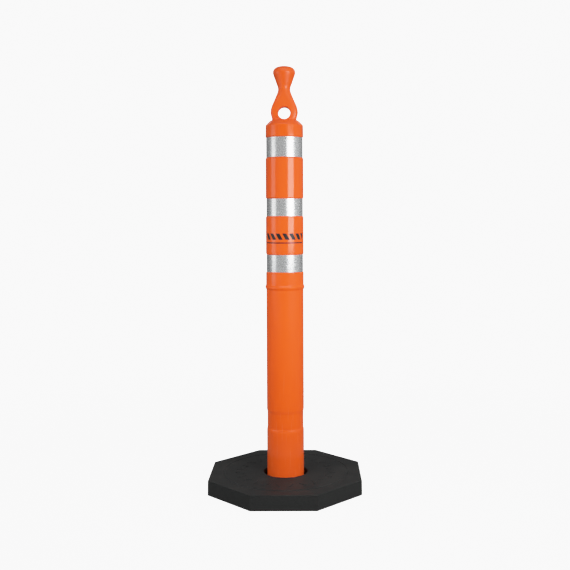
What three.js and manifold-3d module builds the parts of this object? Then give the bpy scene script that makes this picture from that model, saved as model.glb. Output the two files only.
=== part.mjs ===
// Tube delineator post: a hollow orange post with a grab handle moulded into its top,
// three bands of reflective sheeting wrapped round it, and a heavy octagonal rubber base.
// The base is dropped over the top of the post and holds it down by the wide foot flange
// at the post's lower end, so the base lifts straight off again upwards.
//
// Units are millimetres, +Z is up. The origin is on the ground under the middle of the post.

import * as THREE from 'three';
import { mergeVertices } from 'three/addons/utils/BufferGeometryUtils.js';
import Module from 'manifold-3d';

const wasm = await Module();
wasm.setup();

// ---------------------------------------------------------------- driving dimensions

const OVERALL_HEIGHT = 1150;
const ROUND_SEGMENTS = 48;      // facets round the post and round the base's hole
const HANDLE_SEGMENTS = 40;     // facets round the handle
const HANDLE_STEPS = 20;        // sections up the handle to the knob's equator
const CROWN_STEPS = 6;          // sections of the knob above its equator
const HOLE_SEGMENTS = 32;       // facets round the handle's hole
const FIT_GAP = 0.3;            // clearance between separate pieces that touch
const OVERRUN = 1;              // how far a cutting shape runs past the face that it cuts

// post
const WALL = 3.5;               // moulded wall thickness
const TUBE_RADIUS = 50.5;       // plain tube between the grooves and the bead
const FOOT_RADIUS = 50.4;       // tube below the bare groove
const RECESS_RADIUS = 49.0;     // floor of every sheeting recess and of the bare groove
const BEAD_RADIUS = 53.3;
const LAND_RADIUS = 51.1;       // raised lands above and below the sheeting
const CAP_RADIUS = 50.6;
const SHOULDER_BOTTOM = 990.5;  // where the 45 degree shoulder starts
const SHOULDER_TOP = 1001.5;    // the nearly flat top that the handle stands on
const TOP_CROWN = 1;            // rise of that top to its middle

const BARE_GROOVE = { bottom: 156.5, floorBottom: 167.5, floorTop: 206.5, top: 215 };
const BEAD = { bottom: 542.5, peak: 550.5, top: 558.5 };

// reflective sheeting: height of the middle of each band above the ground, and its width
const BANDS = [
  { name: 'reflective_band_lower', middle: 616, width: 47 },
  { name: 'reflective_band_middle', middle: 767.6, width: 47.6 },
  { name: 'reflective_band_upper', middle: 929.7, width: 54 },
];
const SHEET_THICKNESS = 0.5;
const RECESS_MARGIN = 1.0;      // bare recess floor above and below the sheeting
const RECESS_RAMP = 1.6;        // height of the sloping edge of a recess

// handle
const WEB_HALF_DEPTH = 17;      // the web and the neck's front and back faces
const WEB_SQUARENESS = 4.5;     // superellipse exponent of the flat web's section
const WEB_FILLET = 6;           // radius of the fillet between web and shoulder
const NECK_HEIGHT = 1087;
const KNOB_EQUATOR = 1133;
const CROWN_SQUARENESS = 2.45;  // superellipse exponent of the knob's crown
const NECK_RADIUS = 16.4;
const HOLE_HEIGHT = 1023.3;
const HOLE_RADIUS = 16.8;
const HOLE_CHAMFER = 1.5;
const HOLE_MARGIN = 4;          // flat web left above the hole
const WEB_TOP = HOLE_HEIGHT + HOLE_RADIUS + HOLE_MARGIN;

// half-width of the handle, seen from the front, against height
const HANDLE_OUTLINE = [
  [SHOULDER_TOP - 8, 29.6],
  [1010, 33.6],
  [1026, 36.8],
  [1042, 33.6],
  [1063.5, 24.4],
  [NECK_HEIGHT, NECK_RADIUS],
  [1107, 21.9],
  [1122.5, 27.4],
  [1129.5, 29.6],
  [KNOB_EQUATOR, 30.1],
];

// foot flange that the base bears down on
const FLANGE_ACROSS_FLATS = 172;
const FLANGE_THICKNESS = 8;
const COLLAR_RADIUS = 57;       // foot of the cone that stiffens the flange's root
const COLLAR_TOP = 22;

// rubber base
const BASE_ACROSS_FLATS = 412;
const BASE_THICKNESS = 40.5;
const BASE_EDGE = 2.5;          // bevel round the top edge
const BASE_HOLE_RADIUS = 60;
const FLANGE_CLEARANCE = 2;     // all round the flange in its recess
const RING_GROOVE = { radius: 170, width: 8, depth: 1.4 };
const GRIP_BARS = { count: 24, radius: 126, length: 25, width: 7, height: 1, slant: 22 };
const RIM_WIDTH = 18;           // ring of the underside that meets the ground
const HUB_WIDTH = 10;           // ring of the underside round the flange recess
const RIB_WIDTH = 14;           // underside ribs, one to each corner
const RELIEF_DEPTH = 3;

// ---------------------------------------------------------------- helpers

const CORNER_SCALE = 1 / Math.cos(Math.PI / 8);
const SHOULDER_RISE = SHOULDER_TOP - SHOULDER_BOTTOM;

function toSolid(geometry) {
  const bare = geometry.index ? geometry.toNonIndexed() : geometry.clone();
  bare.deleteAttribute('normal');
  bare.deleteAttribute('uv');
  const merged = mergeVertices(bare, 1e-4);
  const kept = [];
  const index = merged.index.array;
  for (let i = 0; i < index.length; i += 3) {
    const [a, b, c] = [index[i], index[i + 1], index[i + 2]];
    if (a !== b && b !== c && c !== a) kept.push(a, b, c);
  }
  return new wasm.Manifold(new wasm.Mesh({
    numProp: 3,
    vertProperties: new Float32Array(merged.attributes.position.array),
    triVerts: new Uint32Array(kept),
  }));
}

function toGeometry(solid) {
  const mesh = solid.getMesh();
  const geometry = new THREE.BufferGeometry();
  geometry.setAttribute('position', new THREE.BufferAttribute(mesh.vertProperties, 3));
  geometry.setIndex(new THREE.BufferAttribute(mesh.triVerts, 1));
  geometry.computeVertexNormals();
  return geometry;
}

// A solid of revolution about Z from [radius, height] pairs that start and end on the axis
// or run round a closed section, listed upwards on the outside.
function turned(profile, segments = ROUND_SEGMENTS) {
  const points = profile.map(([radius, height]) => new THREE.Vector2(radius, height));
  const geometry = new THREE.LatheGeometry(points, segments);
  geometry.rotateX(Math.PI / 2);
  return toSolid(geometry);
}

// The same with eight flat sides that face X, Y and their diagonals. The profile gives
// distances from the axis to the flats.
function octagonal(profile) {
  const points = profile.map(([flat, height]) => new THREE.Vector2(flat * CORNER_SCALE, height));
  const geometry = new THREE.LatheGeometry(points, 8, Math.PI / 8);
  geometry.rotateX(Math.PI / 2);
  return toSolid(geometry);
}

function disc(radius, bottom, top) {
  return [[0, bottom], [radius, bottom], [radius, top], [0, top]];
}

function ring(inner, outer, bottom, top) {
  return [[inner, bottom], [outer, bottom], [outer, top], [inner, top], [inner, bottom]];
}

// ---------------------------------------------------------------- post

// Outside of the tube from the flange to the middle of its closed top.
function tubeOutside() {
  const profile = [
    [0, FLANGE_THICKNESS / 2],
    [COLLAR_RADIUS, FLANGE_THICKNESS / 2],
    [COLLAR_RADIUS, FLANGE_THICKNESS],
    [FOOT_RADIUS, COLLAR_TOP],
    [FOOT_RADIUS, BARE_GROOVE.bottom],
    [RECESS_RADIUS, BARE_GROOVE.floorBottom],
    [RECESS_RADIUS, BARE_GROOVE.floorTop],
    [TUBE_RADIUS, BARE_GROOVE.top],
    [TUBE_RADIUS, BEAD.bottom],
    [BEAD_RADIUS, BEAD.peak],
    [LAND_RADIUS, BEAD.top],
  ];
  for (const band of BANDS) {
    const floorBottom = band.middle - band.width / 2 - RECESS_MARGIN;
    const floorTop = band.middle + band.width / 2 + RECESS_MARGIN;
    profile.push([LAND_RADIUS, floorBottom - RECESS_RAMP]);
    profile.push([RECESS_RADIUS, floorBottom]);
    profile.push([RECESS_RADIUS, floorTop]);
    profile.push([LAND_RADIUS, floorTop + RECESS_RAMP]);
  }
  profile.push([CAP_RADIUS, SHOULDER_BOTTOM]);
  profile.push([CAP_RADIUS - SHOULDER_RISE, SHOULDER_TOP]);
  profile.push([0, SHOULDER_TOP + TOP_CROWN]);
  return profile;
}

// Inside of the tube, open at the bottom. The wall follows the recesses, the bead and the cap.
function tubeInside() {
  const groove = RECESS_RADIUS - WALL;
  const land = LAND_RADIUS - WALL;
  const plain = TUBE_RADIUS - WALL;
  const profile = [
    [0, -OVERRUN],
    [plain, -OVERRUN],
    [plain, BARE_GROOVE.bottom - WALL],
    [groove, BARE_GROOVE.floorBottom],
    [groove, BARE_GROOVE.floorTop],
    [plain, BARE_GROOVE.top + WALL],
    [plain, BEAD.bottom],
    [BEAD_RADIUS - 1.5 * WALL, BEAD.peak],
    [land, BEAD.top],
  ];
  for (const band of BANDS) {
    const floorBottom = band.middle - band.width / 2 - WALL;
    const floorTop = band.middle + band.width / 2 + WALL;
    profile.push([land, floorBottom - 2 * RECESS_RAMP]);
    profile.push([groove, floorBottom]);
    profile.push([groove, floorTop]);
    profile.push([land, floorTop + 2 * RECESS_RAMP]);
  }
  profile.push([land, SHOULDER_BOTTOM - WALL]);
  profile.push([CAP_RADIUS - WALL - SHOULDER_RISE, SHOULDER_TOP - WALL]);
  profile.push([0, SHOULDER_TOP - WALL]);
  return profile;
}

// 0 below the web's top, 1 from the neck upwards, with a smooth change between.
function roundness(height) {
  return THREE.MathUtils.smoothstep(height, WEB_TOP, NECK_HEIGHT);
}

// Half-depth of the handle: from the web's flat faces to the neck, then round like the knob.
function handleHalfDepth(height, halfWidth) {
  if (height > NECK_HEIGHT) return halfWidth;
  return THREE.MathUtils.lerp(WEB_HALF_DEPTH, NECK_RADIUS, roundness(height));
}

// How much the section widens in the fillet that joins the web to the shoulder.
function filletFlare(height) {
  const rise = Math.min(Math.max(height - SHOULDER_TOP, 0), WEB_FILLET);
  const left = WEB_FILLET - rise;
  return WEB_FILLET - Math.sqrt(WEB_FILLET ** 2 - left ** 2);
}

// Sections of the handle from the shoulder to the crown: height, half-width and half-depth,
// with the squareness of the superellipse. inset makes the smaller sections of the hollow.
function handleSections(inset, steps) {
  const outline = new THREE.SplineCurve(HANDLE_OUTLINE.map(([z, w]) => new THREE.Vector2(z, w)));
  const sections = [];
  for (const { x: height, y: halfWidth } of outline.getPoints(steps)) {
    const round = roundness(height);
    const flare = inset ? 0 : filletFlare(height);
    sections.push({
      height,
      halfWidth: halfWidth + flare - inset,
      halfDepth: handleHalfDepth(height, halfWidth) + flare - inset,
      squareness: THREE.MathUtils.lerp(WEB_SQUARENESS, 2, round),
    });
  }
  const crownHeight = OVERALL_HEIGHT - KNOB_EQUATOR - inset;
  const knob = sections[sections.length - 1].halfWidth;
  for (let i = 1; i <= CROWN_STEPS; i += 1) {
    const angle = Math.sin((Math.PI / 2) * (i / (CROWN_STEPS + 1))) * (Math.PI / 2);
    const across = knob * Math.cos(angle) ** (2 / CROWN_SQUARENESS);
    const up = crownHeight * Math.sin(angle) ** (2 / CROWN_SQUARENESS);
    sections.push({ height: KNOB_EQUATOR + up, halfWidth: across, halfDepth: across, squareness: 2 });
  }
  return { sections, top: KNOB_EQUATOR + crownHeight };
}

function sectionPoint(section, turn) {
  const power = 2 / section.squareness;
  const [c, s] = [Math.cos(turn), Math.sin(turn)];
  return [
    section.halfWidth * Math.sign(c) * Math.abs(c) ** power,
    section.halfDepth * Math.sign(s) * Math.abs(s) ** power,
    section.height,
  ];
}

// A closed skin over a stack of sections, with a fan at each end.
function lofted({ sections, top }, segments) {
  const positions = [0, 0, sections[0].height];
  const index = [];
  for (const section of sections) {
    for (let i = 0; i < segments; i += 1) {
      positions.push(...sectionPoint(section, (2 * Math.PI * i) / segments));
    }
  }
  positions.push(0, 0, top);
  const last = 1 + sections.length * segments;
  const at = (ringNumber, i) => 1 + ringNumber * segments + (i % segments);
  for (let i = 0; i < segments; i += 1) {
    index.push(0, at(0, i + 1), at(0, i));
    for (let k = 0; k + 1 < sections.length; k += 1) {
      index.push(at(k, i), at(k, i + 1), at(k + 1, i + 1));
      index.push(at(k, i), at(k + 1, i + 1), at(k + 1, i));
    }
    index.push(last, at(sections.length - 1, i), at(sections.length - 1, i + 1));
  }
  const geometry = new THREE.BufferGeometry();
  geometry.setAttribute('position', new THREE.Float32BufferAttribute(positions, 3));
  geometry.setIndex(index);
  return toSolid(geometry);
}

// A round bar along Y through the handle, which widens at 45 degrees into its two mouths.
function holeCutter(radius, chamfer) {
  const end = WEB_HALF_DEPTH + OVERRUN;
  const mouth = chamfer > 0 ? radius + chamfer + OVERRUN : radius;
  const points = [
    new THREE.Vector2(0, -end),
    new THREE.Vector2(mouth, -end),
    new THREE.Vector2(radius, chamfer - WEB_HALF_DEPTH),
    new THREE.Vector2(radius, WEB_HALF_DEPTH - chamfer),
    new THREE.Vector2(mouth, end),
    new THREE.Vector2(0, end),
  ];
  const geometry = new THREE.LatheGeometry(points, HOLE_SEGMENTS);
  geometry.translate(0, 0, HOLE_HEIGHT);
  return toSolid(geometry);
}

function postTube() {
  const flange = octagonal(disc(FLANGE_ACROSS_FLATS / 2, 0, FLANGE_THICKNESS));
  const handle = lofted(handleSections(0, HANDLE_STEPS), HANDLE_SEGMENTS);
  const outside = turned(tubeOutside()).add(flange).add(handle);
  const handleHollow = lofted(handleSections(WALL, HANDLE_STEPS / 2), HANDLE_SEGMENTS / 2)
    .subtract(holeCutter(HOLE_RADIUS + WALL, 0));
  const hollow = turned(tubeInside()).add(handleHollow);
  return outside.subtract(hollow).subtract(holeCutter(HOLE_RADIUS, HOLE_CHAMFER));
}

// ---------------------------------------------------------------- reflective sheeting

function sheetRing({ middle, width }) {
  const inner = RECESS_RADIUS + FIT_GAP;
  return turned(ring(inner, inner + SHEET_THICKNESS, middle - width / 2, middle + width / 2));
}

// ---------------------------------------------------------------- rubber base

// Raised bars in a ring round the post, leaning left and right in turn.
function gripBars() {
  const bars = [];
  for (let i = 0; i < GRIP_BARS.count; i += 1) {
    const { length, width, height } = GRIP_BARS;
    const bar = new THREE.BoxGeometry(length, width, height + OVERRUN);
    const slant = THREE.MathUtils.degToRad(GRIP_BARS.slant) * (i % 2 ? 1 : -1);
    bar.rotateZ(slant);
    bar.translate(GRIP_BARS.radius, 0, BASE_THICKNESS + (height - OVERRUN) / 2);
    bar.rotateZ((2 * Math.PI * (i + 0.5)) / GRIP_BARS.count);
    bars.push(toSolid(bar));
  }
  return bars;
}

// Shallow relief of the underside between its rim and its hub, less a rib to each corner.
function undersideRelief() {
  const outer = BASE_ACROSS_FLATS / 2 - RIM_WIDTH;
  const inner = FLANGE_ACROSS_FLATS / 2 + FLANGE_CLEARANCE + HUB_WIDTH;
  let relief = octagonal(ring(inner, outer, -OVERRUN, RELIEF_DEPTH));
  for (let i = 0; i < 8; i += 1) {
    const rib = new THREE.BoxGeometry(BASE_ACROSS_FLATS, RIB_WIDTH, 4 * RELIEF_DEPTH);
    rib.translate(BASE_ACROSS_FLATS / 2, 0, 0);
    rib.rotateZ(Math.PI / 8 + (i * Math.PI) / 4);
    relief = relief.subtract(toSolid(rib));
  }
  return relief;
}

function rubberBase() {
  const flat = BASE_ACROSS_FLATS / 2;
  const grooveInner = RING_GROOVE.radius - RING_GROOVE.width / 2;
  const grooveOuter = RING_GROOVE.radius + RING_GROOVE.width / 2;
  const grooveFloor = BASE_THICKNESS - RING_GROOVE.depth;
  const recessFlat = FLANGE_ACROSS_FLATS / 2 + FLANGE_CLEARANCE;
  let body = octagonal([
    [0, 0],
    [flat, 0],
    [flat, BASE_THICKNESS - BASE_EDGE],
    [flat - BASE_EDGE, BASE_THICKNESS],
    [0, BASE_THICKNESS],
  ]);
  for (const bar of gripBars()) body = body.add(bar);
  return body
    .subtract(turned(ring(grooveInner, grooveOuter, grooveFloor, BASE_THICKNESS + OVERRUN)))
    .subtract(turned(disc(BASE_HOLE_RADIUS, -OVERRUN, BASE_THICKNESS + OVERRUN)))
    .subtract(octagonal(disc(recessFlat, -OVERRUN, FLANGE_THICKNESS + FIT_GAP)))
    .subtract(undersideRelief());
}

// ---------------------------------------------------------------- assembly

const orangePlastic = () => new THREE.MeshStandardMaterial({ color: 0xee6620, roughness: 0.35 });
const silverSheeting = () =>
  new THREE.MeshStandardMaterial({ color: 0xc4c8ca, roughness: 0.3, metalness: 0.6 });
const blackRubber = () => new THREE.MeshStandardMaterial({ color: 0x2e2e2d, roughness: 0.6 });

function part(name, solid, material) {
  const mesh = new THREE.Mesh(toGeometry(solid), material);
  mesh.name = name;
  return mesh;
}

const delineatorPost = new THREE.Group();

const post = new THREE.Group();
post.add(part('post_tube', postTube(), orangePlastic()));
for (const band of BANDS) post.add(part(band.name, sheetRing(band), silverSheeting()));
delineatorPost.add(post);

delineatorPost.add(part('rubber_base', rubberBase(), blackRubber()));

export default delineatorPost;
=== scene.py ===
"""Looks of a tube delineator post: a blow-moulded orange post with a grab handle, three bands of
reflective sheeting, and a drop-over octagonal rubber base, on a plain white studio floor.

Shapes are in millimetres in the post's own frame (+Z up, the origin on the ground under the post)
until a mesh is made, which is when they become metres. Materials and the studio are in metres."""

import math

import bmesh
import bpy
import numpy as np
from mathutils import Euler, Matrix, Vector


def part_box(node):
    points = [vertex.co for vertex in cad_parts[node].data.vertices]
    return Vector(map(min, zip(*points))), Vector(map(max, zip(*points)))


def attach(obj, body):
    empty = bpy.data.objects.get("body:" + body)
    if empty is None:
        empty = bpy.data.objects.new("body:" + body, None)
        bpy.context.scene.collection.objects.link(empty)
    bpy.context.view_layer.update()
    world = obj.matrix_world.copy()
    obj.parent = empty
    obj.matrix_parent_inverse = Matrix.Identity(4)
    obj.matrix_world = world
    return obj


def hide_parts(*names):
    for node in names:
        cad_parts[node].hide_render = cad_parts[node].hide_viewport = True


MM = 0.001
EIGHTH = math.pi / 4

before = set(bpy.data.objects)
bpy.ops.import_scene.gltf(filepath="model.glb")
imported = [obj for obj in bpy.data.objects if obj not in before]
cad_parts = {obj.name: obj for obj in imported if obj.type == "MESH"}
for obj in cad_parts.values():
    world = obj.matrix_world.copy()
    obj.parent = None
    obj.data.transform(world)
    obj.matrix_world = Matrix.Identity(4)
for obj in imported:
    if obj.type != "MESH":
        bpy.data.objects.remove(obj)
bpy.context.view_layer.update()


def frame_box(node):
    """Lowest and highest corner of a CAD node in millimetres."""
    low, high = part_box(node)
    return np.array(low) / MM, np.array(high) / MM


# ------------------------------------------------------------------ sizes

_, POST_HIGH = frame_box("post_tube")
_, BASE_HIGH = frame_box("rubber_base")
OVERALL_HEIGHT = POST_HIGH[2]
FLANGE_FLAT = POST_HIGH[0]          # from the axis to a flat side of the foot flange
BASE_FLAT = BASE_HIGH[0]            # from the axis to a flat side of the base

# post
WALL = 3.5
TUBE_RADIUS = 50.5
FOOT_RADIUS = 50.4
RECESS_RADIUS = 49.0
BEAD_RADIUS = 53.3
LAND_RADIUS = 51.1
CAP_RADIUS = 50.6
SHOULDER_BOTTOM = 990.5
SHOULDER_TOP = 1001.5
FLANGE_THICKNESS = 8.0
FLANGE_CORNER = 6.0                 # radius of the upright corners of the foot flange
FLANGE_EDGE = 1.2
COLLAR_RADIUS = 57.0
COLLAR_TOP = 22.0
GROOVE_HEIGHTS = (156.5, 167.5, 206.5, 215.0)   # bottom, floor from and to, top
GROOVE_STEP = (161.5, 163.6)        # the steepest part of the groove's lower ramp
BEAD_HEIGHTS = (543.5, 550.5, 557.0)
BEAD_CROWN = 1.6                    # half the height of the bead's rounded crest
RECESS_MARGIN = 0.8                 # bare floor above and below each band
RECESS_RAMP = 1.5
PARTING_HEIGHT = 0.22               # ridge left where the two halves of the mould met
PARTING_HALF_WIDTH = 0.55

# handle
WEB_HALF_DEPTH = 17.0
WEB_SQUARENESS = 4.5
WEB_FILLET = 6.0
NECK_HEIGHT = 1087.0
NECK_RADIUS = 16.4
KNOB_EQUATOR = 1133.0
CROWN_SQUARENESS = 2.45
HOLE_HEIGHT = 1023.3
HOLE_RADIUS = 16.8
HOLE_LIP = 1.8                      # radius of the rounded mouth of the hole
HOLE_LIP_SHARE = 0.97               # how much of a quarter turn the mouth makes
HOLE_MARGIN = 4.0                   # flat web left above the hole
WEB_TOP = HOLE_HEIGHT + HOLE_RADIUS + HOLE_MARGIN
HANDLE_OUTLINE = (                  # height and half-width of the handle seen from the front
    (SHOULDER_TOP - 8, 29.6),
    (1010, 33.6),
    (1026, 36.8),
    (1042, 33.6),
    (1063.5, 24.4),
    (NECK_HEIGHT, NECK_RADIUS),
    (1107, 21.9),
    (1122.5, 27.4),
    (1129.5, 29.6),
    (KNOB_EQUATOR, 30.1),
)

# reflective sheeting
SHEET_THICKNESS = 0.38
SHEET_EDGE = 0.12
SHEET_GAP = 0.04                    # between the sheeting and the tube
LAP_GAP = 0.03                      # between the start of a strip and the end that laps over it
SHEET_OVERLAP = 13.0
LAP_RAMP = 5.0                      # length over which the end climbs on to the start
CELLS_ROUND = 62                    # honeycomb cells once round the tube
BANDS = {                           # each band's node and the angle of its seam, at the back
    "reflective_band_lower": math.radians(78),
    "reflective_band_middle": math.radians(97),
    "reflective_band_upper": math.radians(86),
}

# rubber base
BASE_THICKNESS = 40.5
BASE_HOLE_RADIUS = 60.0
BASE_EDGE = 2.6                     # radius of the top edge
BASE_CORNER = 2.5                   # radius of the upright corners
RING_GROOVE_RADIUS = 170.0
RING_GROOVE_WIDTH = 8.0
RING_GROOVE_DEPTH = 1.4
BAR_COUNT = 24
BAR_RADIUS = 126.0
BAR_LENGTH = 25.0
BAR_WIDTH = 7.0
BAR_HEIGHT = 1.0
BAR_SLANT = math.radians(22)
BAR_DRAFT = 0.4
BAR_EDGE = 0.5
BAR_CORNER = 1.6
BAR_ROOT = 1.0                      # how far a bar reaches into the base
FLANGE_CLEARANCE = 2.0
FLANGE_RECESS = FLANGE_THICKNESS + 0.3
FLANGE_RECESS_CORNER = 7.0
RIM_WIDTH = 18.0
HUB_WIDTH = 10.0
RIB_WIDTH = 14.0
RELIEF_DEPTH = 3.0
RELIEF_ENDS = ((-1.0, -0.3), (RELIEF_DEPTH, 0.5))   # height and inset of a pocket's two ends


# ------------------------------------------------------------------ outlines and meshes


def rounded_profile(corners, steps=6):
    """Turns (radius, height, fillet) corners into a list of (radius, height) with round corners.
    A point just beyond each fillet keeps the straight stretches flat in smooth shading."""
    points = [tuple(corners[0][:2])]
    for before, here, after in zip(corners, corners[1:], corners[2:]):
        corner = np.array(here[:2], float)
        back, on = np.array(before[:2]) - corner, np.array(after[:2]) - corner
        room = 0.45 * min(np.linalg.norm(back), np.linalg.norm(on))
        back, on = back / np.linalg.norm(back), on / np.linalg.norm(on)
        half = math.acos(float(np.clip(back @ on, -1, 1))) / 2
        if here[2] <= 0 or half > math.radians(89.5):
            points.append(tuple(corner))
            continue
        reach = min(here[2] / math.tan(half), room)
        radius = reach * math.tan(half)
        centre = corner + (back + on) / np.linalg.norm(back + on) * radius / math.sin(half)
        start = corner + back * reach - centre
        turn = math.pi - 2 * half
        side = math.copysign(1, start[0] * on[1] - start[1] * on[0])
        margin = 0.15 * reach
        points.append(tuple(corner + back * (reach + margin)))
        for k in range(steps + 1):
            a = side * turn * k / steps
            spun = (
                start[0] * math.cos(a) - start[1] * math.sin(a),
                start[0] * math.sin(a) + start[1] * math.cos(a),
            )
            points.append((centre[0] + spun[0], centre[1] + spun[1]))
        points.append(tuple(corner + on * (reach + margin)))
    points.append(tuple(corners[-1][:2]))
    return points


def catmull_rom(points, steps):
    """A smooth curve through points, with the given number of steps from each to the next."""
    ends = [points[0], *points, points[-1]]
    curve = []
    for p0, p1, p2, p3 in zip(ends, ends[1:], ends[2:], ends[3:]):
        p0, p1, p2, p3 = (np.array(p, float) for p in (p0, p1, p2, p3))
        for k in range(steps):
            t = k / steps
            slope_in, slope_out = (p2 - p0) / 2, (p3 - p1) / 2
            curve.append(
                (2 * t**3 - 3 * t**2 + 1) * p1
                + (t**3 - 2 * t**2 + t) * slope_in
                + (3 * t**2 - 2 * t**3) * p2
                + (t**3 - t**2) * slope_out
            )
    curve.append(np.array(points[-1], float))
    return curve


def smoothstep(value, low, high):
    t = min(max((value - low) / (high - low), 0.0), 1.0)
    return t * t * (3 - 2 * t)


def circle(radius, height, turns):
    """A ring round the axis, with one radius or one for each turn."""
    return np.column_stack(
        [radius * np.cos(turns), radius * np.sin(turns), np.full(len(turns), height)]
    )


def octagon(flat, height, turns, corner):
    """A ring with flat sides across X, Y and the diagonals, and corners of the given radius."""
    from_corner = np.mod(turns, EIGHTH) - EIGHTH / 2
    straight = flat / np.cos(EIGHTH / 2 - np.abs(from_corner))
    centre = (flat - corner) / math.cos(EIGHTH / 2)
    across = centre * np.sin(from_corner)
    on_arc = np.abs(across) < corner * math.sin(EIGHTH / 2)
    arc = centre * np.cos(from_corner) + np.sqrt(np.maximum(corner**2 - across**2, 0))
    return circle(np.where(on_arc, arc, straight), height, turns)


def superellipse(half_x, half_y, squareness, height, turns):
    """A ring whose points share out its outline as turns share out a circle."""
    t = np.linspace(0, 2 * math.pi, 2881)
    power = 2 / squareness
    x = half_x * np.sign(np.cos(t)) * np.abs(np.cos(t)) ** power
    y = half_y * np.sign(np.sin(t)) * np.abs(np.sin(t)) ** power
    length = np.concatenate([[0], np.cumsum(np.hypot(np.diff(x), np.diff(y)))])
    share = length / length[-1] * 2 * math.pi
    return np.column_stack(
        [np.interp(turns, share, x), np.interp(turns, share, y), np.full(len(turns), height)]
    )


def mesh_object(name, vertices, faces):
    """A smooth-shaded object from millimetre vertices, with its faces pointing out."""
    mesh = bpy.data.meshes.new(name)
    mesh.from_pydata([tuple(v) for v in np.asarray(vertices) * MM], [], faces)
    build = bmesh.new()
    build.from_mesh(mesh)
    bmesh.ops.recalc_face_normals(build, faces=build.faces)
    if build.calc_volume(signed=True) < 0:
        bmesh.ops.reverse_faces(build, faces=build.faces)
    build.to_mesh(mesh)
    build.free()
    made = bpy.data.objects.new(name, mesh)
    bpy.context.scene.collection.objects.link(made)
    return made


def skin(name, rings, start=None, end=None, loop=False):
    """A closed skin over rings of equal length: with a pole at each end, or joined end to start."""
    count = len(rings[0])
    vertices = np.concatenate(rings)
    faces = []
    pairs = list(zip(range(len(rings)), range(1, len(rings))))
    if loop:
        pairs.append((len(rings) - 1, 0))
    for k, above in pairs:
        for i in range(count):
            j = (i + 1) % count
            faces.append((k * count + i, k * count + j, above * count + j, above * count + i))
    if not loop:
        vertices = np.concatenate([vertices, [start], [end]])
        first, last = len(vertices) - 2, len(vertices) - 1
        top = (len(rings) - 1) * count
        for i in range(count):
            j = (i + 1) % count
            faces.append((first, j, i))
            faces.append((last, top + i, top + j))
    return mesh_object(name, vertices, faces)


def combine(target, tools, operation):
    """Cuts the tools out of the target, or joins them to it, and removes them."""
    for tool in tools:
        change = target.modifiers.new("combine", "BOOLEAN")
        change.operation = operation
        change.solver = "EXACT"
        change.object = tool
    bpy.context.view_layer.update()
    done = bpy.data.meshes.new_from_object(
        target.evaluated_get(bpy.context.evaluated_depsgraph_get())
    )
    done.name = target.data.name
    target.modifiers.clear()
    target.data = done
    for tool in tools:
        bpy.data.objects.remove(tool)


def shade(piece, sharp_degrees=32):
    """Smooth shading that keeps the creases sharper than the given angle."""
    mesh = piece.data
    mesh.polygons.foreach_set("use_smooth", [True] * len(mesh.polygons))
    mesh.set_sharp_from_angle(angle=math.radians(sharp_degrees))


# ------------------------------------------------------------------ post


def post_turns():
    """Angles round the post, closer together beside the parting line at +X and -X."""
    count = 240
    step = 2 * math.pi / count
    even = np.arange(count) * step
    beside = [
        side + sign * share * step
        for side in (0, math.pi)
        for sign in (-1, 1)
        for share in (0.14, 0.28, 0.42, 0.7)
    ]
    return np.sort(np.mod(np.concatenate([even, beside]), 2 * math.pi))


def tube_profile():
    """Outside of the tube from the collar above its flange to its nearly flat top."""
    corners = [
        (COLLAR_RADIUS + 6, FLANGE_THICKNESS, 0),
        (COLLAR_RADIUS, FLANGE_THICKNESS, 2),
        (FOOT_RADIUS, COLLAR_TOP, 8),
        (FOOT_RADIUS, GROOVE_HEIGHTS[0], 12),
        (FOOT_RADIUS - 0.5, GROOVE_STEP[0], 2),
        (RECESS_RADIUS + 0.3, GROOVE_STEP[1], 1.5),
        (RECESS_RADIUS, GROOVE_HEIGHTS[1], 10),
        (RECESS_RADIUS, GROOVE_HEIGHTS[2], 8),
        (TUBE_RADIUS, GROOVE_HEIGHTS[3], 8),
        (TUBE_RADIUS, BEAD_HEIGHTS[0], 3),
        (BEAD_RADIUS, BEAD_HEIGHTS[1] - BEAD_CROWN, 3),
        (BEAD_RADIUS, BEAD_HEIGHTS[1] + BEAD_CROWN, 3),
        (LAND_RADIUS, BEAD_HEIGHTS[2], 2.5),
    ]
    for node in BANDS:
        low, high = frame_box(node)
        corners += [
            (LAND_RADIUS, low[2] - RECESS_MARGIN - RECESS_RAMP, 1.1),
            (RECESS_RADIUS, low[2] - RECESS_MARGIN, 0.5),
            (RECESS_RADIUS, high[2] + RECESS_MARGIN, 0.5),
            (LAND_RADIUS, high[2] + RECESS_MARGIN + RECESS_RAMP, 1.1),
        ]
    rise = SHOULDER_TOP - SHOULDER_BOTTOM
    corners += [
        (CAP_RADIUS, SHOULDER_BOTTOM, 4.5),
        (CAP_RADIUS - rise, SHOULDER_TOP, 1.6),
        (CAP_RADIUS - rise - 3, SHOULDER_TOP + 0.1, 0),
    ]
    return rounded_profile(corners)


def handle_size(height, half_width):
    """Half-depth and squareness of the handle's section: flat web, round from the neck up."""
    round_share = smoothstep(height, WEB_TOP, NECK_HEIGHT)
    half_depth = WEB_HALF_DEPTH + (NECK_RADIUS - WEB_HALF_DEPTH) * round_share
    if height > NECK_HEIGHT:
        half_depth = half_width
    return half_depth, WEB_SQUARENESS + (2 - WEB_SQUARENESS) * round_share


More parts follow.
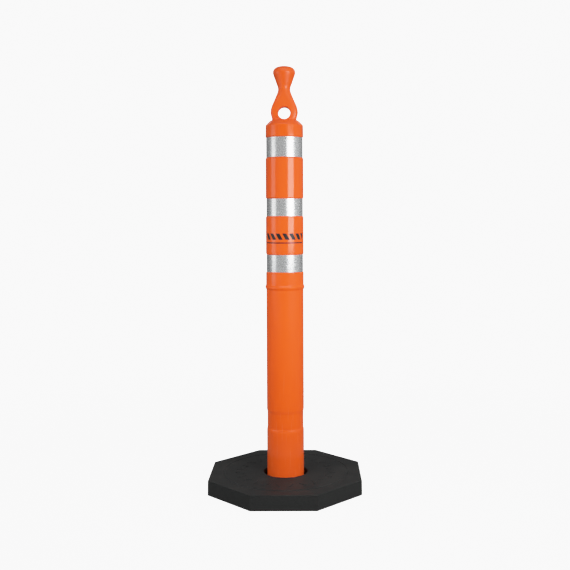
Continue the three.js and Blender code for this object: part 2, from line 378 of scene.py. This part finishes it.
def handle_rings(turns):
    """Rings from the fillet at the foot of the web to just under the crown of the knob."""
    outline = catmull_rom(HANDLE_OUTLINE, 9)
    heights = np.array([p[0] for p in outline])
    widths = np.array([p[1] for p in outline])
    fillet_steps = 8
    levels = [
        SHOULDER_TOP + 0.6 + WEB_FILLET * (1 - math.cos(math.pi / 2 * k / fillet_steps))
        for k in range(fillet_steps)
    ]
    levels += [h for h in heights if h > levels[-1] + 1.2]
    rings = []
    for level in levels:
        left = max(WEB_FILLET - (level - SHOULDER_TOP - 0.6), 0)
        flare = WEB_FILLET - math.sqrt(max(WEB_FILLET**2 - left**2, 0))
        half_width = float(np.interp(level, heights, widths))
        half_depth, squareness = handle_size(level, half_width)
        rings.append(
            superellipse(half_width + flare, half_depth + flare, squareness, level, turns)
        )
    crown_steps = 22
    rise = OVERALL_HEIGHT - KNOB_EQUATOR
    for k in range(1, crown_steps):
        angle = math.sin(math.pi / 2 * k / crown_steps) * math.pi / 2
        power = 2 / CROWN_SQUARENESS
        across = widths[-1] * math.cos(angle) ** power
        rings.append(circle(across, KNOB_EQUATOR + rise * math.sin(angle) ** power, turns))
    return rings


def outside_rings(turns):
    """Rings of the post's outside from the underside of the flange to the knob's crown."""
    foot = rounded_profile(
        [
            (FLANGE_FLAT - 8, 0, 0),
            (FLANGE_FLAT, 0, FLANGE_EDGE),
            (FLANGE_FLAT, FLANGE_THICKNESS, FLANGE_EDGE),
            (FLANGE_FLAT - 8, FLANGE_THICKNESS, 0),
        ],
        steps=3,
    )
    rings = [octagon(flat, height, turns, FLANGE_CORNER) for flat, height in foot]
    rings += [circle(radius, height, turns) for radius, height in tube_profile()]
    handle = handle_rings(turns)
    rim = rings[-1]
    for share in (0.3, 0.65):
        rings.append(rim + (handle[0] - rim) * share)
    return rings + handle


def add_parting_line(rings):
    """Raises a fine ridge on the outside where the halves of the mould met, in the plane y = 0."""
    grid = np.array(rings)
    along = np.gradient(grid, axis=0)
    around = np.roll(grid, -1, axis=1) - np.roll(grid, 1, axis=1)
    normal = np.cross(around, along)
    normal /= np.maximum(np.linalg.norm(normal, axis=2, keepdims=True), 1e-9)
    share = np.clip(1 - (np.abs(grid[:, :, 1]) / PARTING_HALF_WIDTH) ** 2, 0, 1)
    above_flange = grid[:, :, 2] > FLANGE_THICKNESS + 2
    below_crown = grid[:, :, 2] < OVERALL_HEIGHT - 4
    height = PARTING_HEIGHT * share * above_flange * below_crown
    return list(grid + normal * height[:, :, None])


def inside_rings(turns):
    """Rings of the post's hollow inside, from under its closed top down to the open bottom."""
    groove, land, plain = RECESS_RADIUS - WALL, LAND_RADIUS - WALL, TUBE_RADIUS - WALL
    corners = [
        (8, SHOULDER_TOP - WALL, 0),
        (CAP_RADIUS - WALL - 10, SHOULDER_TOP - WALL, 4),
        (land, SHOULDER_BOTTOM - WALL, 4),
    ]
    for node in reversed(list(BANDS)):
        low, high = frame_box(node)
        corners += [
            (land, high[2] + 3 * WALL, 3),
            (groove, high[2] + WALL, 3),
            (groove, low[2] - WALL, 3),
            (land, low[2] - 3 * WALL, 3),
        ]
    corners += [
        (land, BEAD_HEIGHTS[2], 4),
        (BEAD_RADIUS - 1.5 * WALL, BEAD_HEIGHTS[1], 3),
        (plain, BEAD_HEIGHTS[0], 4),
        (plain, GROOVE_HEIGHTS[3] + WALL, 4),
        (groove, GROOVE_HEIGHTS[2], 4),
        (groove, GROOVE_HEIGHTS[1], 4),
        (plain, GROOVE_HEIGHTS[0] - WALL, 4),
        (plain, 0, 1.5),
        (FLANGE_FLAT - 20, 0, 0),
    ]
    return [circle(radius, height, turns) for radius, height in rounded_profile(corners, 3)]


def hole_cutter():
    """A round bar along Y through the web that flares into two mouths with rounded lips."""
    turns = np.linspace(0, 2 * math.pi, 96, endpoint=False)
    lip_steps = 8
    half = [(HOLE_RADIUS, 0.0)]
    for k in range(lip_steps + 1):
        angle = math.pi / 2 * k / lip_steps * HOLE_LIP_SHARE
        half.append(
            (
                HOLE_RADIUS + HOLE_LIP * (1 - math.cos(angle)),
                WEB_HALF_DEPTH - HOLE_LIP * (1 - math.sin(angle)),
            )
        )
    mouth, face = half[-1]
    beyond = (mouth + 3, face + 0.3)
    half += [beyond, (beyond[0], beyond[1] + 5)]
    both = [(radius, -depth) for radius, depth in reversed(half[1:])] + half
    rings = [
        np.column_stack(
            [
                radius * np.cos(turns),
                np.full(len(turns), depth),
                HOLE_HEIGHT + radius * np.sin(turns),
            ]
        )
        for radius, depth in both
    ]
    start = (0, both[0][1], HOLE_HEIGHT)
    end = (0, both[-1][1], HOLE_HEIGHT)
    return skin("hole_cutter", rings, start, end)


def make_post():
    turns = post_turns()
    inside = inside_rings(turns)
    outside = add_parting_line(outside_rings(turns))
    start = (0, 0, SHOULDER_TOP - WALL)
    end = (0, 0, OVERALL_HEIGHT)
    post = skin("post", inside + outside, start, end)
    combine(post, [hole_cutter()], "DIFFERENCE")
    shade(post)
    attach(post, "post")
    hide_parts("post_tube")
    return post


# ------------------------------------------------------------------ reflective sheeting


def make_sheeting(node, seam):
    """One strip wrapped round the tube, whose end laps over its start at the seam's angle."""
    low, high = frame_box(node)
    radius = RECESS_RADIUS + SHEET_GAP
    lap = SHEET_OVERLAP / radius
    ramp = LAP_RAMP / radius
    lift = SHEET_THICKNESS + LAP_GAP
    full = 2 * math.pi + lap
    lap_start = full - lap - 2 * ramp
    angles = np.concatenate([np.linspace(0, lap_start, 300), np.linspace(lap_start, full, 24)[1:]])
    middle = (low[2] + high[2]) / 2
    section = rounded_profile(
        [
            (0, middle, 0),
            (0, low[2], SHEET_EDGE),
            (SHEET_THICKNESS, low[2], SHEET_EDGE),
            (SHEET_THICKNESS, high[2], SHEET_EDGE),
            (0, high[2], SHEET_EDGE),
            (0, middle, 0),
        ],
        steps=3,
    )[:-1]
    vertices, faces = [], []
    for angle in angles:
        up = smoothstep(angle, full - lap - ramp, full - lap - 0.1 * ramp) * lift
        turn = seam + angle
        for offset, height in section:
            reach = radius + up + offset
            vertices.append((reach * math.cos(turn), reach * math.sin(turn), height))
    size = len(section)
    for k in range(len(angles) - 1):
        for i in range(size):
            j = (i + 1) % size
            faces.append((k * size + i, k * size + j, (k + 1) * size + j, (k + 1) * size + i))
    faces.append(tuple(range(size)))
    faces.append(tuple(range((len(angles) - 1) * size, len(angles) * size))[::-1])
    band = mesh_object(node.replace("reflective_band", "sheeting"), vertices, faces)
    shade(band)
    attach(band, "post")
    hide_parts(node)
    return band


# ------------------------------------------------------------------ rubber base


def base_turns():
    """Angles round the base, closer together at its eight corners."""
    even = np.arange(256) * 2 * math.pi / 256
    fine = [
        EIGHTH * (k + 0.5) + sign * math.radians(share)
        for k in range(8)
        for sign in (-1, 1)
        for share in (0.06, 0.12, 0.18, 0.24, 0.35)
    ]
    return np.sort(np.mod(np.concatenate([even, fine]), 2 * math.pi))


def groove_profile():
    """Section of the ring groove, from its inner edge to its outer edge."""
    top = BASE_THICKNESS
    floor = top - RING_GROOVE_DEPTH
    inner = RING_GROOVE_RADIUS - RING_GROOVE_WIDTH / 2
    outer = RING_GROOVE_RADIUS + RING_GROOVE_WIDTH / 2
    return rounded_profile(
        [
            (inner - 6, top, 0),
            (inner, top, 1.5),
            (inner + 2.6, floor, 2),
            (outer - 2.6, floor, 2),
            (outer, top, 1.5),
            (outer + 6, top, 0),
        ],
        steps=4,
    )


def base_rings(turns):
    """Rings from the hole's lower edge, up the hole, over the top and down to the underside."""
    recess_flat = FLANGE_FLAT + FLANGE_CLEARANCE
    hole = rounded_profile(
        [
            (BASE_HOLE_RADIUS + 8, FLANGE_RECESS, 0),
            (BASE_HOLE_RADIUS, FLANGE_RECESS, 1.5),
            (BASE_HOLE_RADIUS, BASE_THICKNESS, 2.2),
            (BASE_HOLE_RADIUS + 12, BASE_THICKNESS, 0),
        ]
    )
    rings = [circle(radius, height, turns) for radius, height in hole + groove_profile()]
    outside = rounded_profile(
        [
            (BASE_FLAT - 12, BASE_THICKNESS, 0),
            (BASE_FLAT - 0.6, BASE_THICKNESS, BASE_EDGE),
            (BASE_FLAT, 3, 0.5),
            (BASE_FLAT, 0, 1.2),
            (BASE_FLAT - RIM_WIDTH, 0, 0),
        ]
    )
    rings += [octagon(flat, height, turns, BASE_CORNER) for flat, height in outside]
    recess = rounded_profile(
        [
            (recess_flat + HUB_WIDTH, 0, 0),
            (recess_flat, 0, 1.0),
            (recess_flat, FLANGE_RECESS, 1.5),
            (recess_flat - 6, FLANGE_RECESS, 0),
        ],
        steps=3,
    )
    rings += [octagon(flat, height, turns, FLANGE_RECESS_CORNER) for flat, height in recess]
    return rings


def grip_bar():
    """A bar with drafted sides, round corners and a round top edge, along X on the axis."""
    turns = np.linspace(0, 2 * math.pi, 40, endpoint=False)
    low, high = BASE_THICKNESS - BAR_ROOT, BASE_THICKNESS + BAR_HEIGHT
    edge_steps = 5

    def outline(inset, height):
        half_x, half_y = BAR_LENGTH / 2 - inset, BAR_WIDTH / 2 - inset
        radius = BAR_CORNER - inset
        x = np.clip(np.cos(turns) * 99, -1, 1) * (half_x - radius) + radius * np.cos(turns)
        y = np.clip(np.sin(turns) * 99, -1, 1) * (half_y - radius) + radius * np.sin(turns)
        return np.column_stack([x, y, np.full(len(turns), height)])

    rings = [outline(0, low), outline(BAR_DRAFT, high - BAR_EDGE)]
    for k in range(1, edge_steps + 1):
        angle = math.pi / 2 * k / edge_steps
        inset = BAR_DRAFT + BAR_EDGE * (1 - math.cos(angle))
        rings.append(outline(inset, high - BAR_EDGE * (1 - math.sin(angle))))
    return skin("bar", rings, (0, 0, low), (0, 0, high))


def turn_about_axis(tool, slant, reach, azimuth):
    """Slants a tool, moves it out along X and swings it round the axis."""
    place = np.array(Euler((0, 0, slant)).to_matrix())
    swing = np.array(Euler((0, 0, azimuth)).to_matrix())
    points = np.array([v.co for v in tool.data.vertices]) @ place.T
    points[:, 0] += reach * MM
    points = points @ swing.T
    tool.data.vertices.foreach_set("co", points.astype(np.float32).ravel())
    tool.data.update()


def grip_bars():
    """Raised bars in a ring round the post, leaning left and right in turn."""
    bars = []
    for k in range(BAR_COUNT):
        bar = grip_bar()
        slant = BAR_SLANT if k % 2 else -BAR_SLANT
        turn_about_axis(bar, slant, BAR_RADIUS, 2 * math.pi * (k + 0.5) / BAR_COUNT)
        bars.append(bar)
    return bars


def relief_cutters():
    """Eight shallow pockets of the underside, one along each side, with ribs left between."""
    inner = FLANGE_FLAT + FLANGE_CLEARANCE + HUB_WIDTH
    outer = BASE_FLAT - RIM_WIDTH
    cutters = []
    for k in range(8):
        rings = []
        for height, inset in RELIEF_ENDS:
            half_in = inner * math.tan(EIGHTH / 2) - RIB_WIDTH / 2 - inset
            half_out = outer * math.tan(EIGHTH / 2) - RIB_WIDTH / 2 - inset
            corners = [
                (inner + inset, -half_in),
                (outer - inset, -half_out),
                (outer - inset, half_out),
                (inner + inset, half_in),
            ]
            azimuth = k * EIGHTH
            spin = np.array(
                [
                    (math.cos(azimuth), math.sin(azimuth)),
                    (-math.sin(azimuth), math.cos(azimuth)),
                ]
            )
            flat = np.array(corners) @ spin
            rings.append(np.column_stack([flat, np.full(4, height)]))
        middle = np.mean(rings[0], axis=0)
        above = np.mean(rings[1], axis=0)
        cutters.append(skin("pocket", rings, middle, above))
    return cutters


def make_base():
    base = skin("base", base_rings(base_turns()), loop=True)
    combine(base, grip_bars(), "UNION")
    combine(base, relief_cutters(), "DIFFERENCE")
    shade(base)
    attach(base, "base")
    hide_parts("rubber_base")
    return base


# ------------------------------------------------------------------ materials

ORANGE = ((0.915, 0.100, 0.002, 1), (0.945, 0.106, 0.0025, 1))
SCUFFED_ORANGE = (0.9, 0.35, 0.16, 1)
ROAD_DUST = (0.50, 0.46, 0.42, 1)
INK = (0.006, 0.006, 0.006, 1)
SILVER = ((0.60, 0.61, 0.62, 1), (0.64, 0.65, 0.65, 1))
CELL_WALL = (0.62, 0.63, 0.635, 1)
RUBBER = ((0.0172, 0.0181, 0.0180, 1), (0.0232, 0.0242, 0.0241, 1))
RUBBER_TOP_DUST = (0.10, 0.095, 0.088, 1)
# painted light: a paler grey mixed into the sides of the base to make them look lighter
RUBBER_SIDES_PAINTED_LIGHTER = (0.10, 0.098, 0.094, 1)

# the two heights between which each of these comes in
SCUFFS_FADE_IN = (0.56, 0.02)
DUST_FADE_IN = (0.18, 0.04)
HANDLED_FADE_IN = (0.996, 1.01)     # the handle is rubbed duller than the tube
TOP_DUST_FADE_IN = (0.036, 0.0405)
# painted light: the sides of the base turn paler below these heights
SIDES_PAINTED_LIGHTER_FADE_IN = (0.0385, 0.035)

# the mark printed on the front, which is a row of slanted bars over a line
MARK_BARS = (0.6805, 0.6975)        # bottom and top
MARK_LINE = (0.6705, 0.6735)        # bottom and top
MARK_PITCH = 0.0185
MARK_SLANT = 0.55                   # sideways lean for each unit of height
MARK_HALF_GAP = 0.19                # half the gap between two bars, as a share of the pitch
MARK_HALF_SPAN = 0.0615             # from the middle to either end, round the tube
MARK_BLUR = 0.00018                 # half the softness of the ink's edges


class Tree:
    """Short calls for building a material's or the world's nodes."""

    def __init__(self, owner):
        owner.use_nodes = True
        self.tree = owner.node_tree
        self.tree.nodes.clear()

    def add(self, kind, inputs=None, **settings):
        node = self.tree.nodes.new(kind)
        for key, value in settings.items():
            setattr(node, key, value)
        for key, value in (inputs or {}).items():
            self.set(node.inputs[key], value)
        return node

    def set(self, socket, value):
        if isinstance(value, bpy.types.NodeSocket):
            self.tree.links.new(value, socket)
        else:
            socket.default_value = value

    def maths(self, operation, *values):
        node = self.add("ShaderNodeMath", operation=operation)
        for socket, value in zip(node.inputs, values):
            self.set(socket, value)
        return node.outputs[0]

    def ramp(self, value, low, high, to_low=0.0, to_high=1.0, smooth=True):
        """value mapped from low..high to to_low..to_high, held at the ends."""
        node = self.add(
            "ShaderNodeMapRange",
            {
                "Value": value,
                "From Min": low,
                "From Max": high,
                "To Min": to_low,
                "To Max": to_high,
            },
            interpolation_type="SMOOTHSTEP" if smooth else "LINEAR",
        )
        return node.outputs["Result"]

    def noise(self, position, scale, detail, roughness=0.5):
        node = self.add(
            "ShaderNodeTexNoise",
            {"Vector": position, "Scale": scale, "Detail": detail, "Roughness": roughness},
        )
        return node.outputs["Fac"]

    def mix(self, share, first, second):
        """Mixes two colours, through the node's colour sockets."""
        node = self.add("ShaderNodeMix", data_type="RGBA")
        self.set(node.inputs["Factor"], share)
        self.set(node.inputs[6], first)
        self.set(node.inputs[7], second)
        return node.outputs[2]

    def bump(self, height, depth, normal=None):
        """Relief of height times depth, in metres."""
        inputs = {"Height": height, "Distance": depth, "Strength": 1.0}
        if normal is not None:
            inputs["Normal"] = normal
        return self.add("ShaderNodeBump", inputs).outputs["Normal"]

    def position(self):
        """The point in the piece's own frame, and its three parts, in metres."""
        place = self.add("ShaderNodeTexCoord").outputs["Object"]
        parts = self.add("ShaderNodeSeparateXYZ", {0: place}).outputs
        return place, parts[0], parts[1], parts[2]

    def stretched(self, place, scale):
        return self.add("ShaderNodeMapping", {"Vector": place, "Scale": scale}).outputs[0]


def printed_bars(t, x, y, z):
    """Mask of the mark printed on the front: a row of slanted bars over a thin line."""
    azimuth = t.maths("ARCTAN2", x, t.maths("MULTIPLY", y, -1.0))
    along = t.maths("MULTIPLY", azimuth, LAND_RADIUS * MM)
    lean = t.maths("MULTIPLY", t.maths("SUBTRACT", z, MARK_BARS[0]), MARK_SLANT)
    phase = t.maths("PINGPONG", t.maths("ADD", along, lean), MARK_PITCH / 2)

    def above(value, edge):
        return t.ramp(value, edge - MARK_BLUR, edge + MARK_BLUR)

    def below(value, edge):
        return t.ramp(value, edge + MARK_BLUR, edge - MARK_BLUR)

    def between(bottom, top):
        return t.maths("MULTIPLY", above(z, bottom), below(z, top))

    bars = t.maths("MULTIPLY", above(phase, MARK_PITCH * MARK_HALF_GAP), between(*MARK_BARS))
    marks = t.maths("MAXIMUM", bars, between(*MARK_LINE))
    return t.maths("MULTIPLY", marks, below(t.maths("ABSOLUTE", along), MARK_HALF_SPAN))


def orange_plastic():
    """Blow-moulded polyethylene: glossy, with faint orange peel, flow, scuffs and a print."""
    material = bpy.data.materials.new("orange_plastic")
    t = Tree(material)
    place, x, y, z = t.position()
    cloud = t.noise(place, 14.0, 2.0)
    grain = t.noise(place, 900.0, 2.0)
    scuff_field = t.noise(t.stretched(place, (260.0, 260.0, 9.0)), 1.0, 4.0, 0.6)
    scuffs = t.maths("MULTIPLY", t.ramp(scuff_field, 0.58, 0.72), t.ramp(z, *SCUFFS_FADE_IN))
    colour = t.mix(cloud, *ORANGE)
    colour = t.mix(t.maths("MULTIPLY", scuffs, 0.16), colour, SCUFFED_ORANGE)
    colour = t.mix(t.ramp(z, *DUST_FADE_IN, 0.0, 0.026), colour, ROAD_DUST)
    ink = printed_bars(t, x, y, z)
    worn_ink = t.maths("MULTIPLY", ink, t.ramp(grain, 0.2, 0.45, 0.93, 1.0))
    colour = t.mix(worn_ink, colour, INK)
    handled = t.maths("MULTIPLY", t.ramp(z, *HANDLED_FADE_IN), 0.19)
    roughness = t.maths("ADD", t.ramp(cloud, 0.3, 0.7, 0.115, 0.145), handled)
    roughness = t.maths("ADD", roughness, t.maths("MULTIPLY", scuffs, 0.16))
    roughness = t.maths("ADD", roughness, t.maths("MULTIPLY", ink, 0.3))
    flow = t.bump(t.noise(t.stretched(place, (22.0, 22.0, 7.0)), 1.0, 1.5), 0.00005)
    peel = t.bump(t.noise(place, 420.0, 2.0), 0.000012, flow)
    shader = t.add(
        "ShaderNodeBsdfPrincipled",
        {
            "Base Color": colour,
            "Roughness": roughness,
            "IOR": 1.5,
            "Normal": peel,
        },
    )
    t.add("ShaderNodeOutputMaterial", {"Surface": shader.outputs[0]})
    return material


def honeycomb(t, u, v):
    """For cells 1 apart: distance from the nearest cell wall, 0 to 0.5, and the cell's place."""
    row = math.sqrt(3)

    def lattice(shift_u, shift_v):
        along_u = t.maths("FLOORED_MODULO", t.maths("ADD", u, shift_u), 1.0)
        along_v = t.maths("FLOORED_MODULO", t.maths("ADD", v, shift_v), row)
        du = t.maths("SUBTRACT", along_u, 0.5)
        dv = t.maths("SUBTRACT", along_v, row / 2)
        square = t.maths("ADD", t.maths("MULTIPLY", du, du), t.maths("MULTIPLY", dv, dv))
        return du, dv, square

    first, second = lattice(0.0, 0.0), lattice(0.5, row / 2)
    pick = t.maths("LESS_THAN", first[2], second[2])

    def chosen(k):
        kept = t.maths("MULTIPLY", first[k], pick)
        other = t.maths("MULTIPLY", second[k], t.maths("SUBTRACT", 1.0, pick))
        return t.maths("ADD", kept, other)

    du, dv = chosen(0), chosen(1)
    across = t.maths("ABSOLUTE", du)
    upward = t.maths("MULTIPLY", t.maths("ABSOLUTE", dv), row / 2)
    slanted = t.maths("ADD", t.maths("MULTIPLY", across, 0.5), upward)
    wall = t.maths("SUBTRACT", 0.5, t.maths("MAXIMUM", across, slanted))
    centre = t.add(
        "ShaderNodeCombineXYZ", {0: t.maths("SUBTRACT", u, du), 1: t.maths("SUBTRACT", v, dv)}
    )
    return wall, centre.outputs[0]


def reflective_sheeting():
    """Silver sheeting: bright cells behind a clear face, with paler walls between them."""
    material = bpy.data.materials.new("reflective_sheeting")
    t = Tree(material)
    place, x, y, z = t.position()
    turn = t.maths("DIVIDE", t.maths("ARCTAN2", y, x), 2 * math.pi)
    u = t.maths("MULTIPLY", turn, float(CELLS_ROUND))
    pitch = 2 * math.pi * RECESS_RADIUS * MM / CELLS_ROUND
    v = t.maths("DIVIDE", z, pitch)
    wall, centre = honeycomb(t, u, v)
    snapped = t.add("ShaderNodeVectorMath", {0: centre, 1: (0.25, 0.25, 0.25)}, operation="SNAP")
    cell = t.add("ShaderNodeTexWhiteNoise", {"Vector": snapped.outputs[0]}, noise_dimensions="3D")
    shade_of_cell = cell.outputs["Value"]
    on_wall = t.ramp(wall, 0.035, 0.075, 1.0, 0.0)
    colour = t.mix(on_wall, t.mix(shade_of_cell, *SILVER), CELL_WALL)
    foil = t.noise(place, 240.0, 3.0, 0.6)
    roughness = t.ramp(shade_of_cell, 0.0, 1.0, 0.23, 0.29, smooth=False)
    roughness = t.maths("ADD", roughness, t.maths("MULTIPLY", on_wall, 0.12))
    relief = t.maths("ADD", t.ramp(wall, 0.02, 0.11), t.maths("MULTIPLY", foil, 1.2))
    shader = t.add(
        "ShaderNodeBsdfPrincipled",
        {
            "Base Color": colour,
            "Metallic": t.maths("SUBTRACT", 0.9, t.maths("MULTIPLY", on_wall, 0.5)),
            "Roughness": roughness,
            "Normal": t.bump(relief, 0.000026),
            "Coat Weight": 0.35,
            "Coat Roughness": 0.12,
        },
    )
    t.add("ShaderNodeOutputMaterial", {"Surface": shader.outputs[0]})
    return material


def black_rubber():
    """Moulded recycled rubber: nearly black and dull, with a crumb grain, faint dust on top, and
    painted light that makes its sides paler.
    """
    material = bpy.data.materials.new("black_rubber")
    t = Tree(material)
    place, _, _, z = t.position()
    crumbs = t.add(
        "ShaderNodeTexVoronoi", {"Vector": place, "Scale": 520.0}, feature="F1"
    ).outputs
    crumb_shade = t.add("ShaderNodeSeparateColor", {0: crumbs["Color"]}).outputs[0]
    cloud = t.noise(place, 11.0, 4.0, 0.6)
    fine = t.noise(place, 1400.0, 2.0)
    top_dust = t.maths("MULTIPLY", t.ramp(cloud, 0.42, 0.72), t.ramp(z, *TOP_DUST_FADE_IN))
    colour = t.mix(crumb_shade, *RUBBER)
    colour = t.mix(t.maths("MULTIPLY", top_dust, 0.12), colour, RUBBER_TOP_DUST)
    # painted light: below the top edge the base is mixed 7% towards a paler grey, so its sides look
    # lighter
    colour = t.mix(t.ramp(z, *SIDES_PAINTED_LIGHTER_FADE_IN, 0.0, 0.07), colour, RUBBER_SIDES_PAINTED_LIGHTER)
    roughness = t.ramp(cloud, 0.3, 0.7, 0.46, 0.54)
    roughness = t.maths("ADD", roughness, t.maths("MULTIPLY", crumb_shade, 0.08))
    grain = t.bump(crumbs["Distance"], 0.00012)
    pores = t.bump(fine, 0.00003, grain)
    shader = t.add(
        "ShaderNodeBsdfPrincipled",
        {
            "Base Color": colour,
            "Roughness": roughness,
            "IOR": 1.15,
            "Normal": pores,
        },
    )
    t.add("ShaderNodeOutputMaterial", {"Surface": shader.outputs[0]})
    return material


def paint(piece, material):
    piece.data.materials.clear()
    piece.data.materials.append(material)


# ------------------------------------------------------------------ studio

LENS = 53.0                         # millimetres
LENS_SHIFT = (-0.0397, -0.07)
CAMERA_PLACE = (0.0628, -2.2952, 0.7513)
CAMERA_DOWN = math.radians(2.17)
CAMERA_ROLL = math.radians(0.171)
WHITE = 1.9                         # what the camera sees behind the post
FLOOR_RADIUS = 3.0
FLOOR_DROP = 0.0003                 # keeps the floor clear of the undersides that stand on it
FLOOR_GREY = (0.26, 0.26, 0.26, 1)
FLOOR_GLOW = 1.6                    # added for the camera only
FLOOR_FADE = (0.5, 1.9)             # from solid to clear, going out from the post
ROOM_LEFT, ROOM_RIGHT = 0.42, 0.62
ROOM_BACK = 0.4                     # light from behind, as a share of the light from in front
ROOM_BELOW = 0.55                   # light from below, as a share of the light from above
FLAG = 0.4                          # share of the room's light left by the dark flag in front
FLAG_FOOT = (0.108, 0.13)           # upward part of the direction, from clear to dark
FLAG_TOP = (0.42, 0.32)             # the same, coming down
FLAG_ROUND = (-0.86, -0.93)         # backward part of the direction, coming in from the sides
TONE = (                            # light in the scene and light in the picture
    (0.0, 0.0),
    (0.5, 0.5),
    (0.8, 0.73),
    (1.19, 0.871),
    (1.9, 0.945),
    (5.0, 0.965),
)


def softbox(name, azimuth, distance, middle, width, height, radiance, tilt=0.0, mirrored=True):
    """A rectangle of even light that faces the post's axis and leans down by tilt degrees.
    Its azimuth is in degrees from the front towards the right, and middle is its height.
    One that isn't mirrored lights the object but makes no highlight on it."""
    light = bpy.data.lights.new(name, "AREA")
    light.shape = "RECTANGLE"
    light.size, light.size_y = width, height
    light.energy = radiance * math.pi * width * height
    lamp = bpy.data.objects.new(name, light)
    turn = math.radians(azimuth)
    lamp.location = (distance * math.sin(turn), -distance * math.cos(turn), middle)
    lamp.rotation_euler = (math.pi / 2 - math.radians(tilt), 0, turn)
    lamp.visible_camera = False
    lamp.visible_glossy = mirrored
    bpy.context.scene.collection.objects.link(lamp)


def make_world():
    """White to the camera; to the object a grey room, brighter in front and to the right.
    A dark flag hangs in front, from about 7 to 22 degrees up, to keep the handle's colour deep."""
    world = bpy.data.worlds.new("studio")
    bpy.context.scene.world = world
    t = Tree(world)
    direction = t.add("ShaderNodeTexCoord").outputs["Generated"]
    x, y, z = t.add("ShaderNodeSeparateXYZ", {0: direction}).outputs
    room = t.ramp(x, -0.9, 0.9, ROOM_LEFT, ROOM_RIGHT)
    room = t.maths("MULTIPLY", room, t.ramp(y, -0.2, 0.8, 1.0, ROOM_BACK))
    room = t.maths("MULTIPLY", room, t.ramp(z, -0.35, 0.05, ROOM_BELOW, 1.0))
    flag = t.maths("MULTIPLY", t.ramp(z, *FLAG_FOOT), t.ramp(z, *FLAG_TOP))
    flag = t.maths("MULTIPLY", flag, t.ramp(y, *FLAG_ROUND))
    room = t.maths("MULTIPLY", room, t.ramp(flag, 0.0, 1.0, 1.0, FLAG, smooth=False))
    seen = t.add("ShaderNodeLightPath").outputs["Is Camera Ray"]
    white = t.add("ShaderNodeBackground", {"Color": (1, 1, 1, 1), "Strength": WHITE})
    grey = t.add("ShaderNodeBackground", {"Color": (1, 1, 1, 1), "Strength": room})
    both = t.add("ShaderNodeMixShader", {0: seen, 1: grey.outputs[0], 2: white.outputs[0]})
    t.add("ShaderNodeOutputWorld", {"Surface": both.outputs[0]})


def set_tone():
    """A plain display transform with a soft shoulder, so that bright orange keeps its colour."""
    view = bpy.context.scene.view_settings
    view.view_transform = "Standard"
    view.use_curve_mapping = True
    mapping = view.curve_mapping
    mapping.use_clip = True
    mapping.clip_max_x = TONE[-1][0]
    mapping.extend = "HORIZONTAL"
    for curve in mapping.curves[:3]:
        curve.points[0].location = TONE[0]
        curve.points[1].location = TONE[-1]
        for place in TONE[1:-1]:
            curve.points.new(*place)
    mapping.update()


def make_floor():
    """A round white floor that fades into the white surroundings."""
    turns = np.linspace(0, 2 * math.pi, 128, endpoint=False)
    mesh = bpy.data.meshes.new("floor")
    rim = circle(FLOOR_RADIUS, -FLOOR_DROP, turns)
    mesh.from_pydata([tuple(v) for v in rim], [], [tuple(range(len(rim)))])
    floor = bpy.data.objects.new("floor", mesh)
    bpy.context.scene.collection.objects.link(floor)
    material = bpy.data.materials.new("white_floor")
    t = Tree(material)
    _, x, y, _ = t.position()
    square = t.maths("ADD", t.maths("MULTIPLY", x, x), t.maths("MULTIPLY", y, y))
    fade = t.ramp(t.maths("SQRT", square), *FLOOR_FADE)
    seen = t.add("ShaderNodeLightPath").outputs["Is Camera Ray"]
    shine = t.maths("MULTIPLY", seen, FLOOR_GLOW)
    matt = t.add("ShaderNodeBsdfDiffuse", {"Color": FLOOR_GREY})
    glow = t.add("ShaderNodeEmission", {"Color": (1, 1, 1, 1), "Strength": shine})
    surface = t.add("ShaderNodeAddShader", {0: matt.outputs[0], 1: glow.outputs[0]})
    clear = t.add("ShaderNodeBsdfTransparent")
    both = t.add("ShaderNodeMixShader", {0: fade, 1: surface.outputs[0], 2: clear.outputs[0]})
    t.add("ShaderNodeOutputMaterial", {"Surface": both.outputs[0]})
    paint(floor, material)


def make_camera():
    """Level with the upper middle of the post and a little to its right, looking slightly down."""
    lens = bpy.data.cameras.new("camera")
    lens.lens = LENS
    lens.shift_x, lens.shift_y = LENS_SHIFT
    camera = bpy.data.objects.new("camera", lens)
    camera.location = CAMERA_PLACE
    camera.rotation_euler = Euler((math.pi / 2 - CAMERA_DOWN, CAMERA_ROLL, 0))
    bpy.context.scene.collection.objects.link(camera)
    bpy.context.scene.camera = camera


def make_lights():
    """Soft lights round the post; the low fills brighten its lower half and the base."""
    softbox("key_softbox", 40, 1.4, middle=0.857, width=0.91, height=0.535, radiance=6.5)
    softbox("upper_softbox", 30, 2.0, middle=1.5, width=1.0, height=0.6, radiance=0.08)
    softbox("side_softbox", -71, 2.0, middle=0.82, width=1.05, height=0.86, radiance=1.6)
    softbox("ceiling_softbox", 0, 1.4, middle=2.3, width=2.6, height=1.3, radiance=1.2, tilt=62)
    low_fill = {"middle": 0.54, "width": 0.7, "height": 0.4, "radiance": 2.2, "mirrored": False}
    softbox("low_fill_left", -48, 0.75, **low_fill)
    softbox("low_fill_right", 48, 0.75, **low_fill)
    back = {"middle": 1.75, "width": 1.2, "height": 1.0, "radiance": 0.8, "tilt": 35}
    softbox("back_left_softbox", -140, 1.9, **back)
    softbox("back_right_softbox", 140, 1.9, **back)


# ------------------------------------------------------------------ scene

make_camera()
make_world()
make_floor()
set_tone()
make_lights()

post = make_post()
paint(post, orange_plastic())
sheeting = reflective_sheeting()
for node, seam in BANDS.items():
    paint(make_sheeting(node, seam), sheeting)
base = make_base()
paint(base, black_rubber())
